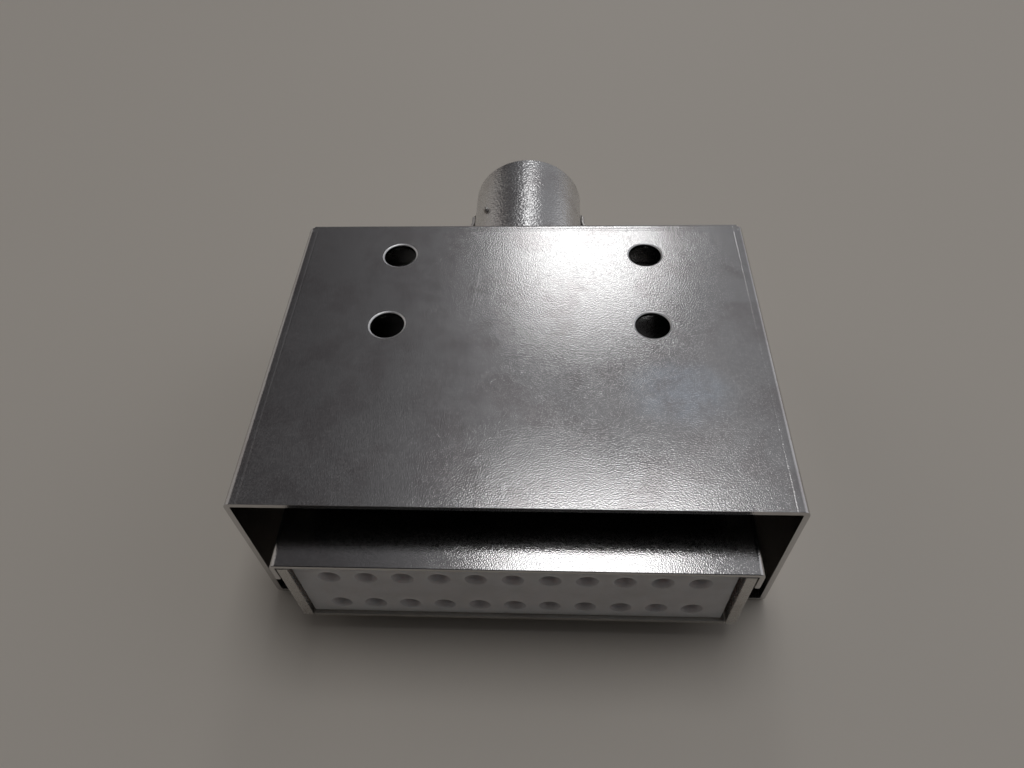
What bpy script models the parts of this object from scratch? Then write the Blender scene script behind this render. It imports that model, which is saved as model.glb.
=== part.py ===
"""Slot burner with a perforated ceramic face, a folded hood and a round gas inlet.

Units are metres. +Z is up, the ports face -Y, and the inlet points to +Y.
The origin is on the resting plane, under the middle of the bounding box.
"""
import math

import bmesh
import bpy
from mathutils import Matrix, Vector

GAP = 0.0003                 # clearance between faces that touch on the real part

# Hood: one folded sheet over the burner box
HOOD_WIDTH = 0.1524
HOOD_DEPTH = 0.1143
HOOD_TOP = 0.0545
HOOD_FRONT = -0.0745
HOOD_SHEET = 0.0016
HOOD_BEND = 0.0020           # outer radius of every fold in the hood
RETURN_LIP = 0.0055          # inward lip along the bottom of each side
REAR_FLANGE_BOTTOM = 0.0055
MOUNT_HOLE_RADIUS = 0.0056
MOUNT_HOLE_X = 0.0415        # half the spacing of the holes across the hood
MOUNT_HOLE_Y = (-0.0095, 0.0231)

# Burner box: two cheeks, a bottom plate, a cover, a roof and a back plate.
# It hangs inside the hood, clear of the resting plane, and sticks out in front.
BOX_SHIFT = 0.0005           # the burner sits this far to the right of the hood's middle
BOX_FRONT = -0.0860
BOX_REAR = 0.0325
BOX_BOTTOM = 0.00975
CHEEK_OUTER = 0.0634
CHEEK_THICKNESS = 0.0030
BOTTOM_PLATE = 0.0015
COVER_TOP = 0.0422
COVER_SHEET = 0.0015
COVER_BEND = 0.0019
COVER_LIP = 0.0082
COVER_REAR = -0.0300
BACK_PLATE = 0.0030
BACK_PLATE_BOTTOM = 0.0040   # the back plate is taller than the box, to carry the inlet
BACK_PLATE_TOP = 0.0516
BACK_PLATE_HOLE = 0.0124

# Ceramic port block and what it bears on
BLOCK_SIZE = (0.1188, 0.0135, 0.02865)
BLOCK_CENTRE_X = -0.00035
BLOCK_BOTTOM = 0.01175
BLOCK_RECESS = 0.0008
PORT_COLUMNS = 11
PORT_PITCH = 0.01003
PORT_ROW_OFFSET = 0.0083
PORT_RADIUS = 0.00235
PORT_MOUTH_RADIUS = 0.0030
PORT_MOUTH_DEPTH = 0.0012
GASKET_THICKNESS = 0.0015
FRAME_THICKNESS = 0.0020
FRAME_OPENING = (0.1110, 0.0242)

# Gas inlet
INLET_Z = 0.0278
INLET_RADIUS = 0.0214
INLET_BORE = 0.0147
INLET_CHAMFER = 0.0012
INLET_END = 0.0860
INLET_WELD = (0.0020, 0.0019)   # radial leg and axial leg of the fillet

# Braces from the hood's rear flange to the inlet: a foot, a slanting leg and a straight end
STRAP_SHEET = 0.0012
STRAP_LOW = 0.0140
STRAP_HIGH = 0.0285
STRAP_REACH = 0.0445
STRAP_KNEE_X = 0.0306
STRAP_KNEE_Y = 0.0725
STRAP_END = 0.0765
STRAP_RIVET_X = 0.0385
STRAP_RIVET_Z = 0.0042       # half the spacing of the two rivets in a foot
STRAP_WELD = (0.0018, 0.0034, 0.0068)   # outward, along Y and half its height

# Tack of weld metal on the upper left of the inlet: radius, distance along Y, turn from +Z
TACK_RADIUS = 0.0013
TACK_Y = 0.0618
TACK_TURN = math.radians(45)

# Clips between the cheeks and the hood's sides
CLIP_LENGTH = 0.0120
CLIP_HEIGHT = 0.0140
CLIP_Z = 0.0205
CLIP_Y = (-0.0320, 0.0180)

# Small screws: (head radius, head height, shank radius)
COVER_SCREW = (0.0028, 0.0017, 0.0014)
COVER_SCREW_Y = (-0.0540, -0.0360)
COVER_SCREW_Z = 0.0379
BLOCK_SCREW = (0.0017, 0.0010, 0.0009)
BLOCK_SCREW_Y = -0.0831
BLOCK_SCREW_Z = 0.0122
RIVET_HEAD = (0.0032, 0.0015)
RIVET_TAIL = (0.0024, 0.0012)
RIVET_SHANK = 0.0016

# Diffuser sheet across the plenum
DIFFUSER_Y = -0.0100
DIFFUSER_SHEET = 0.0012
DIFFUSER_HOLE = 0.0030
DIFFUSER_GRID = (9, 3)
DIFFUSER_PITCH = (0.0125, 0.0090)

BEND_STEPS = 4
DOME_STEPS = 4
ROUND_STEPS = 48
HOLE_STEPS = 24
SMALL_STEPS = 16

HOOD_REAR = HOOD_FRONT + HOOD_DEPTH
CHEEK_INNER = CHEEK_OUTER - CHEEK_THICKNESS
COVER_HALF = CHEEK_OUTER + GAP + COVER_SHEET
CHEEK_TOP = COVER_TOP - COVER_SHEET - GAP
PLATE_SEAT = BOX_BOTTOM + BOTTOM_PLATE + GAP
BLOCK_REAR = BOX_FRONT + BLOCK_RECESS + BLOCK_SIZE[1]
BLOCK_CENTRE_Z = BLOCK_BOTTOM + BLOCK_SIZE[2] / 2
BACK_FACE = BOX_REAR + GAP + BACK_PLATE

NICKEL = ((0.62, 0.61, 0.59), 0.34, 1.0)
NICKEL_COARSE = ((0.60, 0.59, 0.57), 0.42, 1.0)
SHEET_INSIDE = ((0.45, 0.44, 0.42), 0.45, 1.0)
CERAMIC = ((0.86, 0.87, 0.85), 0.55, 0.0)
GASKET = ((0.11, 0.10, 0.09), 0.90, 0.0)


def clear_scene():
    for old in list(bpy.data.objects):
        bpy.data.objects.remove(old, do_unlink=True)


def finish_for(name, look):
    """A Principled BSDF material of its own for one sub-part."""
    colour, roughness, metallic = look
    finish = bpy.data.materials.new(name + "_finish")
    finish.use_nodes = True
    shader = finish.node_tree.nodes["Principled BSDF"]
    shader.inputs["Base Color"].default_value = (*colour, 1.0)
    shader.inputs["Roughness"].default_value = roughness
    shader.inputs["Metallic"].default_value = metallic
    return finish


def to_object(name, shape, look=None):
    """Turn a bmesh into a linked object with outward faces and smooth round sides."""
    bmesh.ops.recalc_face_normals(shape, faces=shape.faces)
    mesh = bpy.data.meshes.new(name)
    shape.to_mesh(mesh)
    shape.free()
    mesh.shade_smooth()
    mesh.set_sharp_from_angle(angle=math.radians(35))
    made = bpy.data.objects.new(name, mesh)
    bpy.context.scene.collection.objects.link(made)
    if look is not None:
        made.data.materials.append(finish_for(name, look))
    return made


def copy_of(source, name, look):
    """Another object with the same mesh and a finish of its own."""
    made = bpy.data.objects.new(name, source.data)
    bpy.context.scene.collection.objects.link(made)
    made.material_slots[0].link = "OBJECT"
    made.material_slots[0].material = finish_for(name, look)
    return made


def cut(target, shape):
    """Cut a bmesh of closed bodies out of an object."""
    cutter = to_object(target.name + "_cutter", shape)
    cutter.hide_render = True
    cutter.display_type = "WIRE"
    boolean = target.modifiers.new("cut", "BOOLEAN")
    boolean.operation = "DIFFERENCE"
    boolean.solver = "EXACT"
    boolean.object = cutter


def add_box(shape, low, high):
    corners = [Vector((x, y, z)) for x in (low[0], high[0]) for y in (low[1], high[1])
               for z in (low[2], high[2])]
    verts = [shape.verts.new(corner) for corner in corners]
    for loop in ((0, 1, 3, 2), (4, 6, 7, 5), (0, 4, 5, 1), (2, 3, 7, 6), (0, 2, 6, 4), (1, 5, 7, 3)):
        shape.faces.new([verts[index] for index in loop])


def add_turned(shape, profile, steps, place, closed=False):
    """Revolve (radius, height) points about local Z; a point at radius 0 is a pole."""
    rings = []
    for radius, height in profile:
        if radius == 0:
            rings.append([shape.verts.new(place @ Vector((0, 0, height)))])
            continue
        turns = [2 * math.pi * step / steps for step in range(steps)]
        around = [Vector((radius * math.cos(turn), radius * math.sin(turn), height)) for turn in turns]
        rings.append([shape.verts.new(place @ point) for point in around])
    pairs = list(zip(rings, rings[1:]))
    if closed:
        pairs.append((rings[-1], rings[0]))
    for lower, upper in pairs:
        for step in range(steps):
            after = (step + 1) % steps
            if len(lower) == 1:
                shape.faces.new((lower[0], upper[after], upper[step]))
            elif len(upper) == 1:
                shape.faces.new((lower[step], lower[after], upper[0]))
            else:
                shape.faces.new((lower[step], lower[after], upper[after], upper[step]))


def add_cylinder(shape, radius, start, end, axis, steps):
    """A plain closed cylinder from one point to another along a world axis."""
    length = (Vector(end) - Vector(start)).length
    place = Matrix.Translation(start) @ axis_turn(axis)
    add_turned(shape, [(0, 0), (radius, 0), (radius, length), (0, length)], steps, place)


def axis_turn(axis):
    """Rotation that takes local Z to a world direction."""
    return Vector(axis).to_track_quat("Z", "Y").to_matrix().to_4x4()


def folded_pairs(corners, bend, sheet):
    """Outer and inner points of a folded sheet that lies to the right of its outer path."""
    path = [Vector(corner) for corner in corners]
    pairs = []
    ahead = (path[1] - path[0]).normalized()
    side = Vector((ahead.y, -ahead.x))
    pairs.append((path[0], path[0] + side * sheet))
    for before, corner, after in zip(path, path[1:], path[2:]):
        arrive = (corner - before).normalized()
        leave = (after - corner).normalized()
        turn = math.atan2(arrive.x * leave.y - arrive.y * leave.x, arrive.dot(leave))
        inward = 1.0 if turn < 0 else -1.0
        radius = bend if turn < 0 else bend - sheet
        start_side = Vector((arrive.y, -arrive.x))
        start = corner - arrive * radius * math.tan(abs(turn) / 2)
        centre = start + start_side * radius * inward
        for step in range(BEND_STEPS + 1):
            swing = turn * step / BEND_STEPS
            side = Vector((start_side.x * math.cos(swing) - start_side.y * math.sin(swing),
                           start_side.x * math.sin(swing) + start_side.y * math.cos(swing)))
            outer = centre - side * radius * inward
            pairs.append((outer, outer + side * sheet))
    ahead = (path[-1] - path[-2]).normalized()
    side = Vector((ahead.y, -ahead.x))
    pairs.append((path[-1], path[-1] + side * sheet))
    return pairs


def add_folded(shape, pairs, start, end, place):
    """Extrude a folded outline from start to end; place maps (a, b, depth) to a point."""
    rows = []
    for outer, inner in pairs:
        rows.append([shape.verts.new(place(point.x, point.y, depth))
                     for depth in (start, end) for point in (outer, inner)])
    caps = []
    for this, after in zip(rows, rows[1:]):
        shape.faces.new((this[0], after[0], after[2], this[2]))
        shape.faces.new((this[1], this[3], after[3], after[1]))
        shape.faces.new((this[0], this[1], after[1], after[0]))
        caps.append(shape.faces.new((this[2], after[2], after[3], this[3])))
    shape.faces.new((rows[0][0], rows[0][2], rows[0][3], rows[0][1]))
    shape.faces.new((rows[-1][0], rows[-1][1], rows[-1][3], rows[-1][2]))
    return rows, caps


def across(a, b, depth):
    """Outline in XZ, extruded along Y."""
    return Vector((a, depth, b))


def upright(a, b, depth):
    """Outline in XY, extruded along Z."""
    return Vector((a, b, depth))


def make_hood():
    """Channel with inward lips; its web continues round a fold into the rear flange."""
    half = HOOD_WIDTH / 2
    outline = [(-half + RETURN_LIP, 0), (-half, 0), (-half, HOOD_TOP),
               (half, HOOD_TOP), (half, 0), (half - RETURN_LIP, 0)]
    shape = bmesh.new()
    bend_start = HOOD_REAR - HOOD_BEND
    pairs = folded_pairs(outline, HOOD_BEND, HOOD_SHEET)
    rows, caps = add_folded(shape, pairs, HOOD_FRONT, bend_start, across)
    web = 2 * (BEND_STEPS + 1)
    shape.faces.remove(caps[web])
    flange = folded_pairs([(bend_start - HOOD_BEND, HOOD_TOP), (HOOD_REAR, HOOD_TOP),
                           (HOOD_REAR, REAR_FLANGE_BOTTOM)], HOOD_BEND, HOOD_SHEET)
    last = (rows[web][2], rows[web][3], rows[web + 1][3], rows[web + 1][2])
    edge = half - HOOD_BEND
    for outer, inner in flange[2:]:
        ring = [shape.verts.new((x, point.x, point.y))
                for x, point in ((-edge, outer), (-edge, inner), (edge, inner), (edge, outer))]
        for index in range(4):
            after = (index + 1) % 4
            shape.faces.new((last[index], last[after], ring[after], ring[index]))
        last = ring
    shape.faces.new(last)
    hood = to_object("hood", shape, NICKEL)
    cut(hood, hood_openings())
    return hood


def hood_openings():
    """Four mounting holes, the inlet's slot and the strap rivets' holes."""
    shape = bmesh.new()
    for x in (-MOUNT_HOLE_X, MOUNT_HOLE_X):
        for y in MOUNT_HOLE_Y:
            add_cylinder(shape, MOUNT_HOLE_RADIUS, (x, y, HOOD_TOP - 0.005), (x, y, HOOD_TOP + 0.005),
                         (0, 0, 1), HOLE_STEPS)
    slot = INLET_RADIUS + INLET_WELD[0] + 2 * GAP
    near = HOOD_REAR - HOOD_SHEET - 0.003
    far = HOOD_REAR + 0.003
    arch = [Vector((BOX_SHIFT + slot * math.cos(turn), INLET_Z + slot * math.sin(turn)))
            for turn in (math.pi * step / HOLE_STEPS for step in range(HOLE_STEPS + 1))]
    arch += [Vector((BOX_SHIFT - slot, -0.005)), Vector((BOX_SHIFT + slot, -0.005))]
    front = [shape.verts.new((point.x, near, point.y)) for point in arch]
    back = [shape.verts.new((point.x, far, point.y)) for point in arch]
    for index in range(len(arch)):
        after = (index + 1) % len(arch)
        shape.faces.new((front[index], front[after], back[after], back[index]))
    shape.faces.new(front)
    shape.faces.new(back)
    for x, z in strap_rivet_places():
        add_cylinder(shape, RIVET_SHANK + GAP, (BOX_SHIFT + x, near, z), (BOX_SHIFT + x, far, z),
                     (0, 1, 0), SMALL_STEPS)
    return shape


def strap_rivet_places():
    rises = (-STRAP_RIVET_Z, STRAP_RIVET_Z)
    middle = (STRAP_LOW + STRAP_HIGH) / 2
    return [(side * STRAP_RIVET_X, middle + rise) for side in (-1, 1) for rise in rises]


def make_cover():
    """Removable sheet over the port block, lapping the cheeks on both sides."""
    outline = [(-COVER_HALF, COVER_TOP - COVER_LIP), (-COVER_HALF, COVER_TOP),
               (COVER_HALF, COVER_TOP), (COVER_HALF, COVER_TOP - COVER_LIP)]
    shape = bmesh.new()
    add_folded(shape, folded_pairs(outline, COVER_BEND, COVER_SHEET), BOX_FRONT, COVER_REAR, across)
    cover = to_object("cover", shape, NICKEL)
    holes = bmesh.new()
    for side in (-1, 1):
        for y in COVER_SCREW_Y:
            add_cylinder(holes, COVER_SCREW[2] + GAP, (side * (CHEEK_OUTER - 0.001), y, COVER_SCREW_Z),
                         (side * (COVER_HALF + 0.001), y, COVER_SCREW_Z), (side, 0, 0), SMALL_STEPS)
    cut(cover, holes)
    return cover


def make_cheek(name, side):
    """Thick side plate of the burner box."""
    shape = bmesh.new()
    inner, outer = sorted((side * CHEEK_INNER, side * CHEEK_OUTER))
    add_box(shape, (inner, BOX_FRONT, BOX_BOTTOM), (outer, BOX_REAR, CHEEK_TOP))
    cheek = to_object(name, shape, NICKEL)
    holes = bmesh.new()
    spots = [(y, COVER_SCREW_Z, COVER_SCREW[2]) for y in COVER_SCREW_Y]
    spots.append((BLOCK_SCREW_Y, BLOCK_SCREW_Z, BLOCK_SCREW[2]))
    for y, z, radius in spots:
        add_cylinder(holes, radius + GAP, (side * (CHEEK_INNER - 0.001), y, z),
                     (side * (CHEEK_OUTER + 0.001), y, z), (side, 0, 0), SMALL_STEPS)
    cut(cheek, holes)
    return cheek


def make_bottom_plate():
    shape = bmesh.new()
    half = CHEEK_INNER - GAP
    add_box(shape, (-half, BOX_FRONT, BOX_BOTTOM), (half, BOX_REAR, BOX_BOTTOM + BOTTOM_PLATE))
    return to_object("bottom_plate", shape, SHEET_INSIDE)


def make_roof():
    """Flat sheet that closes the top of the plenum behind the cover."""
    shape = bmesh.new()
    add_box(shape, (-CHEEK_OUTER, COVER_REAR + GAP, COVER_TOP - COVER_SHEET),
            (CHEEK_OUTER, BOX_REAR, COVER_TOP))
    return to_object("plenum_roof", shape, SHEET_INSIDE)


def make_back_plate():
    """Plate across the rear of the box, tall enough for the whole inlet weld."""
    shape = bmesh.new()
    add_box(shape, (-CHEEK_OUTER, BOX_REAR + GAP, BACK_PLATE_BOTTOM),
            (CHEEK_OUTER, BACK_FACE, BACK_PLATE_TOP))
    plate = to_object("back_plate", shape, NICKEL)
    hole = bmesh.new()
    middle = (BOX_BOTTOM + COVER_TOP) / 2
    add_cylinder(hole, BACK_PLATE_HOLE, (0, BOX_REAR - 0.002, middle), (0, BACK_FACE + 0.002, middle),
                 (0, 1, 0), ROUND_STEPS)
    cut(plate, hole)
    return plate


def port_places():
    """Centres of the ports, across and up."""
    middle = (PORT_COLUMNS - 1) / 2
    return [(BLOCK_CENTRE_X + PORT_PITCH * (column - middle), BLOCK_CENTRE_Z + row)
            for row in (-PORT_ROW_OFFSET, PORT_ROW_OFFSET) for column in range(PORT_COLUMNS)]


def make_block():
    """Ceramic block with two rows of ports, each with a dished mouth."""
    width, depth, height = BLOCK_SIZE
    face = BOX_FRONT + BLOCK_RECESS
    shape = bmesh.new()
    add_box(shape, (BLOCK_CENTRE_X - width / 2, face, BLOCK_BOTTOM),
            (BLOCK_CENTRE_X + width / 2, BLOCK_REAR, BLOCK_BOTTOM + height))
    block = to_object("ceramic_block", shape, CERAMIC)
    ports = bmesh.new()
    past = 0.001
    profile = [(0, -past), (PORT_MOUTH_RADIUS, -past), (PORT_MOUTH_RADIUS, 0),
               (PORT_RADIUS, PORT_MOUTH_DEPTH), (PORT_RADIUS, depth + past), (0, depth + past)]
    for x, z in port_places():
        add_turned(ports, profile, SMALL_STEPS, Matrix.Translation((x, face, z)) @ axis_turn((0, 1, 0)))
    cut(block, ports)
    return block


def make_window_frame(name, front, thickness, look):
    """Rectangular frame behind the block, open where the ports are."""
    half = CHEEK_INNER - GAP
    shape = bmesh.new()
    add_box(shape, (-half, front, PLATE_SEAT), (half, front + thickness, CHEEK_TOP))
    frame = to_object(name, shape, look)
    window = bmesh.new()
    width, height = FRAME_OPENING
    add_box(window, (-width / 2, front - 0.002, BLOCK_CENTRE_Z - height / 2),
            (width / 2, front + thickness + 0.002, BLOCK_CENTRE_Z + height / 2))
    cut(frame, window)
    return frame


def make_diffuser():
    """Perforated sheet that spreads the gas across the plenum."""
    half = CHEEK_INNER - GAP
    shape = bmesh.new()
    add_box(shape, (-half, DIFFUSER_Y, PLATE_SEAT), (half, DIFFUSER_Y + DIFFUSER_SHEET, CHEEK_TOP))
    diffuser = to_object("diffuser", shape, SHEET_INSIDE)
    holes = bmesh.new()
    columns, rows = DIFFUSER_GRID
    for column in range(columns):
        for row in range(rows):
            x = DIFFUSER_PITCH[0] * (column - (columns - 1) / 2)
            z = (PLATE_SEAT + CHEEK_TOP) / 2 + DIFFUSER_PITCH[1] * (row - (rows - 1) / 2)
            add_cylinder(holes, DIFFUSER_HOLE, (x, DIFFUSER_Y - 0.001, z),
                         (x, DIFFUSER_Y + DIFFUSER_SHEET + 0.001, z), (0, 1, 0), 12)
    cut(diffuser, holes)
    return diffuser


def make_inlet():
    """Round pipe coupling; its bore is chamfered at both ends."""
    length = INLET_END - BACK_FACE - GAP
    chamfer = INLET_CHAMFER
    profile = [(INLET_BORE + chamfer, 0), (INLET_RADIUS - chamfer / 2, 0), (INLET_RADIUS, chamfer / 2),
               (INLET_RADIUS, length - chamfer / 2), (INLET_RADIUS - chamfer / 2, length),
               (INLET_BORE + chamfer, length), (INLET_BORE, length - chamfer), (INLET_BORE, chamfer)]
    shape = bmesh.new()
    place = Matrix.Translation((0, BACK_FACE + GAP, INLET_Z)) @ axis_turn((0, 1, 0))
    add_turned(shape, profile, ROUND_STEPS, place, closed=True)
    return to_object("inlet_coupling", shape, NICKEL_COARSE)


def make_inlet_weld():
    """Fillet weld between the inlet and the back plate."""
    radial, axial = INLET_WELD
    inside = INLET_RADIUS + GAP
    turns = [math.pi / 2 * step / DOME_STEPS for step in range(DOME_STEPS + 1)]
    crown = [(inside + (radial - GAP) * math.cos(turn), axial * math.sin(turn)) for turn in turns]
    shape = bmesh.new()
    place = Matrix.Translation((0, BACK_FACE + GAP, INLET_Z)) @ axis_turn((0, 1, 0))
    add_turned(shape, [(inside, 0)] + crown, ROUND_STEPS, place, closed=True)
    return to_object("inlet_weld", shape, NICKEL_COARSE)


def make_strap(name, side):
    """Brace: its foot is riveted to the hood, and its leg slants in to the inlet's side."""
    near = INLET_RADIUS + GAP
    front = HOOD_REAR + GAP
    outline = [(STRAP_REACH, front), (STRAP_KNEE_X, front), (near, STRAP_KNEE_Y), (near, STRAP_END)]
    shape = bmesh.new()
    add_folded(shape, folded_pairs(outline, STRAP_SHEET * 1.5, STRAP_SHEET), STRAP_LOW, STRAP_HIGH, upright)
    if side < 0:
        bmesh.ops.transform(shape, matrix=Matrix.Scale(-1, 4, (1, 0, 0)), verts=shape.verts)
    strap = to_object(name, shape, NICKEL)
    holes = bmesh.new()
    for x, z in strap_rivet_places():
        if x * side > 0:
            add_cylinder(holes, RIVET_SHANK + GAP, (x, front - 0.001, z), (x, front + STRAP_SHEET + 0.001, z),
                         (0, 1, 0), SMALL_STEPS)
    cut(strap, holes)
    return strap


def make_strap_weld(name, side):
    """Bead at the end of a brace, lying on the inlet's round side."""
    wide, deep, tall = STRAP_WELD
    middle = STRAP_HIGH - tall
    shape = bmesh.new()
    place = Matrix.Translation((side * (INLET_RADIUS + GAP), STRAP_END, middle))
    bmesh.ops.create_uvsphere(shape, u_segments=20, v_segments=12, radius=1.0,
                              matrix=place @ Matrix.Diagonal((wide, deep, tall, 1)))
    bead = to_object(name, shape, NICKEL_COARSE)
    trim = bmesh.new()
    add_cylinder(trim, INLET_RADIUS + GAP, (0, STRAP_END - 0.01, INLET_Z), (0, STRAP_END + 0.01, INLET_Z),
                 (0, 1, 0), 2 * ROUND_STEPS)
    cut(bead, trim)
    strap_side = bmesh.new()
    low, high = sorted((side * (INLET_RADIUS - wide), side * STRAP_REACH))
    add_box(strap_side, (low, STRAP_END - 2 * deep, middle - 2 * tall),
            (high, STRAP_END + GAP, middle + 2 * tall))
    cut(bead, strap_side)
    return bead


def make_inlet_tack():
    """Small round lump of weld metal on the inlet's upper left."""
    reach = INLET_RADIUS + GAP
    place = Matrix.Translation((-reach * math.sin(TACK_TURN), TACK_Y, INLET_Z + reach * math.cos(TACK_TURN)))
    shape = bmesh.new()
    bmesh.ops.create_uvsphere(shape, u_segments=16, v_segments=10, radius=TACK_RADIUS, matrix=place)
    tack = to_object("inlet_tack", shape, NICKEL_COARSE)
    trim = bmesh.new()
    add_cylinder(trim, reach, (0, TACK_Y - 0.005, INLET_Z), (0, TACK_Y + 0.005, INLET_Z),
                 (0, 1, 0), 2 * ROUND_STEPS)
    cut(tack, trim)
    return tack


def dome(radius, height):
    """Profile of a low round head that stands on height 0, from its rim to its pole."""
    turns = [math.pi / 2 * step / DOME_STEPS for step in range(DOME_STEPS)]
    return [(radius * math.cos(turn), height * math.sin(turn)) for turn in turns] + [(0, height)]


def make_screw(name, size, length, look):
    """Domed screw; local Z points out of its head, and the head sits on z = 0."""
    head_radius, head_height, shank_radius = size
    profile = [(0, -length), (shank_radius, -length), (shank_radius, 0)] + dome(head_radius, head_height)
    shape = bmesh.new()
    add_turned(shape, profile, SMALL_STEPS, Matrix())
    return to_object(name, shape, look)


def make_rivet(name, grip, look):
    """Rivet with a domed head on z = 0 and a flat tail beyond its grip."""
    tail_radius, tail_height = RIVET_TAIL
    profile = [(0, -grip - tail_height), (tail_radius, -grip - tail_height), (tail_radius, -grip),
               (RIVET_SHANK, -grip), (RIVET_SHANK, 0)] + dome(*RIVET_HEAD)
    shape = bmesh.new()
    add_turned(shape, profile, SMALL_STEPS, Matrix())
    return to_object(name, shape, look)


def put(thing, position, direction):
    """Stand a fastener at a position with its head pointing in a direction."""
    thing.rotation_mode = "QUATERNION"
    thing.rotation_quaternion = Vector(direction).to_track_quat("Z", "Y")
    thing.location = position


def make_strap_rivets():
    grip = HOOD_SHEET + GAP + STRAP_SHEET + 2 * GAP
    head_y = HOOD_REAR + GAP + STRAP_SHEET + GAP
    first = None
    for number, (x, z) in enumerate(strap_rivet_places(), start=1):
        name = "strap_rivet_" + str(number)
        if first is None:
            first = rivet = make_rivet(name, grip, NICKEL)
        else:
            rivet = copy_of(first, name, NICKEL)
        put(rivet, (x, head_y, z), (0, 1, 0))


def make_cover_screws():
    seat = COVER_HALF + GAP
    first = None
    places = [(side, y) for side in (-1, 1) for y in COVER_SCREW_Y]
    for number, (side, y) in enumerate(places, start=1):
        name = "cover_screw_" + str(number)
        if first is None:
            first = screw = make_screw(name, COVER_SCREW, seat - CHEEK_INNER - GAP, NICKEL)
        else:
            screw = copy_of(first, name, NICKEL)
        put(screw, (side * seat, y, COVER_SCREW_Z), (side, 0, 0))


def make_block_screws():
    seat = CHEEK_OUTER + GAP
    first = make_screw("block_screw_left", BLOCK_SCREW, seat - CHEEK_INNER - GAP, NICKEL)
    put(first, (-seat, BLOCK_SCREW_Y, BLOCK_SCREW_Z), (-1, 0, 0))
    second = copy_of(first, "block_screw_right", NICKEL)
    put(second, (seat, BLOCK_SCREW_Y, BLOCK_SCREW_Z), (1, 0, 0))


def make_clips():
    """Small channels that hold the hood's sides off the cheeks."""
    near = CHEEK_OUTER + GAP
    half = CLIP_LENGTH / 2
    number = 0
    for side in (-1, 1):
        far = HOOD_WIDTH / 2 - HOOD_SHEET - GAP - side * BOX_SHIFT
        outline = [(far, half), (far, -half), (near, -half), (near, half)]
        shape = bmesh.new()
        add_folded(shape, folded_pairs(outline, 2 * HOOD_SHEET, HOOD_SHEET), -CLIP_HEIGHT / 2,
                   CLIP_HEIGHT / 2, upright)
        first = to_object("side_clip_" + str(number + 1), shape, SHEET_INSIDE)
        for clip in (first, copy_of(first, "side_clip_" + str(number + 2), SHEET_INSIDE)):
            clip.location = (0, CLIP_Y[number % 2], CLIP_Z)
            clip.rotation_euler = (0, 0 if side > 0 else math.pi, 0)
            number += 1


def shift_burner():
    """Move everything but the hood to where the burner sits under it."""
    for thing in bpy.data.objects:
        if not thing.name.startswith("hood"):
            thing.location.x += BOX_SHIFT


def build():
    clear_scene()
    make_hood()
    make_cover()
    make_cheek("cheek_left", -1)
    make_cheek("cheek_right", 1)
    make_bottom_plate()
    make_roof()
    make_back_plate()
    make_block()
    make_window_frame("block_gasket", BLOCK_REAR + GAP, GASKET_THICKNESS, GASKET)
    make_window_frame("block_frame", BLOCK_REAR + 2 * GAP + GASKET_THICKNESS, FRAME_THICKNESS, SHEET_INSIDE)
    make_diffuser()
    make_inlet()
    make_inlet_weld()
    make_strap("strap_left", -1)
    make_strap("strap_right", 1)
    make_strap_weld("strap_weld_left", -1)
    make_strap_weld("strap_weld_right", 1)
    make_inlet_tack()
    make_strap_rivets()
    make_cover_screws()
    make_block_screws()
    make_clips()
    shift_burner()


build()
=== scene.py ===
"""Looks of the slot burner: plated sheet metal, a ceramic port block and a coarse-grained inlet.

Every piece rides on the one body of the frame. Units are metres, ports face -Y, +Z is up.
"""

import math

import bmesh
import bpy
from mathutils import Matrix, Vector


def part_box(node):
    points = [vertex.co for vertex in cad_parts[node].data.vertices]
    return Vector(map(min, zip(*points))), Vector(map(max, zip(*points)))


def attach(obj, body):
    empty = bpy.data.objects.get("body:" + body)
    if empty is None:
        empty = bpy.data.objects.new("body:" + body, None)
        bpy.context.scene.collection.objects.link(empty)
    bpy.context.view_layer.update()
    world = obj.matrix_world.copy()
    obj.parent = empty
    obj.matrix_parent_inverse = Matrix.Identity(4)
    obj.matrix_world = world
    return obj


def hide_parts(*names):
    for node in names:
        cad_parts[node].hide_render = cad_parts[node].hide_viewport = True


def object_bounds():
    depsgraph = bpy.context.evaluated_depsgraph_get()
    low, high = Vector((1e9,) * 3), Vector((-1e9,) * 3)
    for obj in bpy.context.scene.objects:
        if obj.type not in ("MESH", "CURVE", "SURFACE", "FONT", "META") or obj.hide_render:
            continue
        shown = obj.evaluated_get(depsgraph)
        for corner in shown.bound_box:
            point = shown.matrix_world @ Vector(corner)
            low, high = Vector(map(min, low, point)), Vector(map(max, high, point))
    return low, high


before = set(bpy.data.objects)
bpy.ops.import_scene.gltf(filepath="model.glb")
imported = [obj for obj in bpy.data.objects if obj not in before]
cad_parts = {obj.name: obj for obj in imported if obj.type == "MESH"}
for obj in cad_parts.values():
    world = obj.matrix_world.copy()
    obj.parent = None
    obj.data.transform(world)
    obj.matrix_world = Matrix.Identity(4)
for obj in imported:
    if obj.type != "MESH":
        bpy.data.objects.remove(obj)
cad_low, cad_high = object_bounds()

BODY = "root"
GAP = 0.0003                  # clearance kept between neighbouring pieces

# Camera, as the burner is seen from the front and above
CAMERA_PLACE = (0.009825, -0.17123, 0.22467)
CAMERA_TURN = (39.119, -3.216, 4.579)     # pitch, roll and yaw in degrees
CAMERA_LENS = 26.40
CAMERA_SENSOR = 36.0

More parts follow.
